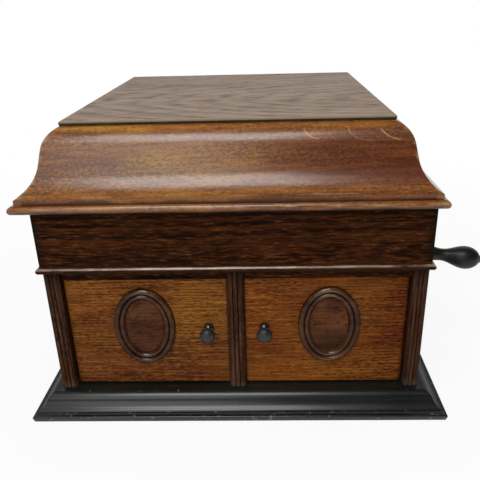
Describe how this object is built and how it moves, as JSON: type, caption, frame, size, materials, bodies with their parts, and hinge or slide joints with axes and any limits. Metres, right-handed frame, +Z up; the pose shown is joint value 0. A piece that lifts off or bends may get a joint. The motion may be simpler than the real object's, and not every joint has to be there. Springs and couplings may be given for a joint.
{
  "type": "tabletop gramophone",
  "caption": "Oak tabletop gramophone: case on a black moulded plinth, ogee lid, doors with oval mouldings over an inner horn, winding crank, turntable and tone arm",
  "frame": {"origin": "middle of the plinth's underside, on the surface that the gramophone stands on", "axes": "X to the right seen from the front, Y to the back, Z up"},
  "size_m": [0.5378, 0.458, 0.3271],
  "materials": {
    "black_oak": "ebonised and polished, with worn edges",
    "dark_oak": "dark stained oak, polished",
    "panel_oak": "dark reddish stained oak panel",
    "top_oak": "quarter-sawn oak, weathered to greyish brown",
    "lid_oak": "golden brown stained oak, open pores",
    "door_oak": "orange-brown stained oak",
    "ebonised_wood": "turned and stained black, glossy",
    "iron": "black japanned casting",
    "brass": "brass",
    "nickel": "nickel plated",
    "enamel": "cream enamel",
    "steel": "steel",
    "felt": "green felt",
    "fibre": "pressed fibre"
  },
  "bodies": {
    "case": {"plinth": "black_oak", "base_board": "dark_oak", "side_left": "dark_oak", "side_right": "dark_oak", "back_panel": "dark_oak", "corner_stile_left": "dark_oak", "corner_stile_right": "dark_oak", "centre_stile": "dark_oak", "door_head_rail": "dark_oak", "frieze_front": "dark_oak", "frieze_left": "dark_oak", "frieze_right": "dark_oak", "frieze_back": "dark_oak", "waist_bead": "dark_oak", "motor_board": "dark_oak", "horn_floor": "dark_oak", "horn_roof": "dark_oak", "horn_cheeks": "dark_oak", "horn_throat": "iron", "tonearm_bracket": "nickel", "crank_bush": "brass", "needle_cups": "nickel", "speed_dial": "enamel", "stay_rail": "brass", "motor_frame": "iron", "case_hinge_leaves": "brass"},
    "lid": {"lid_top_board": "top_oak", "lid_moulding_front": "lid_oak", "lid_moulding_left": "lid_oak", "lid_moulding_right": "lid_oak", "lid_back_board": "lid_oak", "lid_hinge_leaves": "brass", "stay_bracket": "brass"},
    "lid_stay": {"lid_stay": "brass"},
    "door_left": {"door_left": "door_oak", "oval_ring_left": "dark_oak", "oval_panel_left": "panel_oak", "knob_left": "ebonised_wood"},
    "door_right": {"door_right": "door_oak", "oval_ring_right": "dark_oak", "oval_panel_right": "panel_oak", "knob_right": "ebonised_wood"},
    "crank": {"crank_rod_bent": "steel", "drive_pinion": "brass"},
    "crank_grip": {"handle_ferrule": "steel", "crank_handle": "ebonised_wood"},
    "turntable": {"turntable_platter": "steel", "turntable_felt": "felt", "record_spindle": "steel", "worm_wheel": "fibre"},
    "spring_barrel": {"spring_barrel": "steel"},
    "winding_arbor": {"winding_arbor": "brass"},
    "middle_arbor": {"middle_arbor": "brass"},
    "governor": {"governor": "steel"},
    "tonearm": {"tonearm_tube": "nickel"},
    "sound_head": {"tonearm_crook": "nickel", "sound_box": "nickel", "needle": "steel"},
    "brake_lever": {"brake_lever": "brass"},
    "speed_lever": {"speed_lever": "nickel"}
  },
  "joints": [
    {"name": "lid_hinge", "type": "hinge", "parent": "case", "child": "lid", "pos_m": [0, 0.2291, 0.24355], "axis": [-1, 0, 0], "range_deg": [0, 75]},
    {"name": "stay_pivot", "type": "hinge", "parent": "lid", "child": "lid_stay", "pos_m": [0.182, 0.07933, 0.25192], "axis": [-1, 0, 0], "range_deg": [-150, 0]},
    {"name": "door_left_hinge", "type": "hinge", "parent": "case", "child": "door_left", "pos_m": [-0.18275, -0.182, 0.1], "axis": [0, 0, -1], "range_deg": [0, 90]},
    {"name": "door_right_hinge", "type": "hinge", "parent": "case", "child": "door_right", "pos_m": [0.18275, -0.182, 0.1], "axis": [0, 0, 1], "range_deg": [0, 90]},
    {"name": "crank_turn", "type": "hinge", "parent": "case", "child": "crank", "pos_m": [0.215, 0.0057, 0.2], "axis": [1, 0, 0], "continuous": true},
    {"name": "grip_spin", "type": "hinge", "parent": "crank", "child": "crank_grip", "pos_m": [0.2359, -0.0687, 0.13933], "axis": [0.9871, -0.1239, -0.1011], "continuous": true},
    {"name": "turntable_spin", "type": "hinge", "parent": "case", "child": "turntable", "pos_m": [-0.028, -0.01995, 0.239], "axis": [0, 0, -1], "continuous": true},
    {"name": "middle_spin", "type": "hinge", "parent": "case", "child": "middle_arbor", "pos_m": [-0.00926, 0.0066, 0.15], "axis": [0, 0, -1], "continuous": true},
    {"name": "barrel_spin", "type": "hinge", "parent": "case", "child": "spring_barrel", "pos_m": [0.03573, 0.0057, 0.16], "axis": [0, 0, -1], "continuous": true},
    {"name": "governor_spin", "type": "hinge", "parent": "case", "child": "governor", "pos_m": [-0.048, -0.01995, 0.173], "axis": [0, 1, 0], "continuous": true},
    {"name": "winding_spin", "type": "hinge", "parent": "case", "child": "winding_arbor", "pos_m": [0.03573, 0.0057, 0.18], "axis": [0, 0, 1], "continuous": true},
    {"name": "tonearm_swing", "type": "hinge", "parent": "case", "child": "tonearm", "pos_m": [0.12, 0.1599, 0.236], "axis": [0, 0, -1], "range_deg": [0, 32]},
    {"name": "head_lift", "type": "hinge", "parent": "tonearm", "child": "sound_head", "pos_m": [0.12, 0.1599, 0.276], "axis": [-0.2079, 0.9781, 0], "range_deg": [0, 45]},
    {"name": "brake_turn", "type": "hinge", "parent": "case", "child": "brake_lever", "pos_m": [0.11812, -0.0944, 0.222], "axis": [0, 0, 1], "range_deg": [0, 14]},
    {"name": "speed_turn", "type": "hinge", "parent": "case", "child": "speed_lever", "pos_m": [0.109, -0.15775, 0.222], "axis": [0, 0, 1], "range_deg": [-40, 40]}
  ],
  "couplings": [
    {"joint": "stay_pivot", "follows": "lid_hinge", "ratio": -2},
    {"joint": "middle_spin", "follows": "turntable_spin", "ratio": -0.3},
    {"joint": "barrel_spin", "follows": "turntable_spin", "ratio": 0.075},
    {"joint": "governor_spin", "follows": "turntable_spin", "ratio": -10},
    {"joint": "winding_spin", "follows": "crank_turn", "ratio": 0.27778}
  ]
}
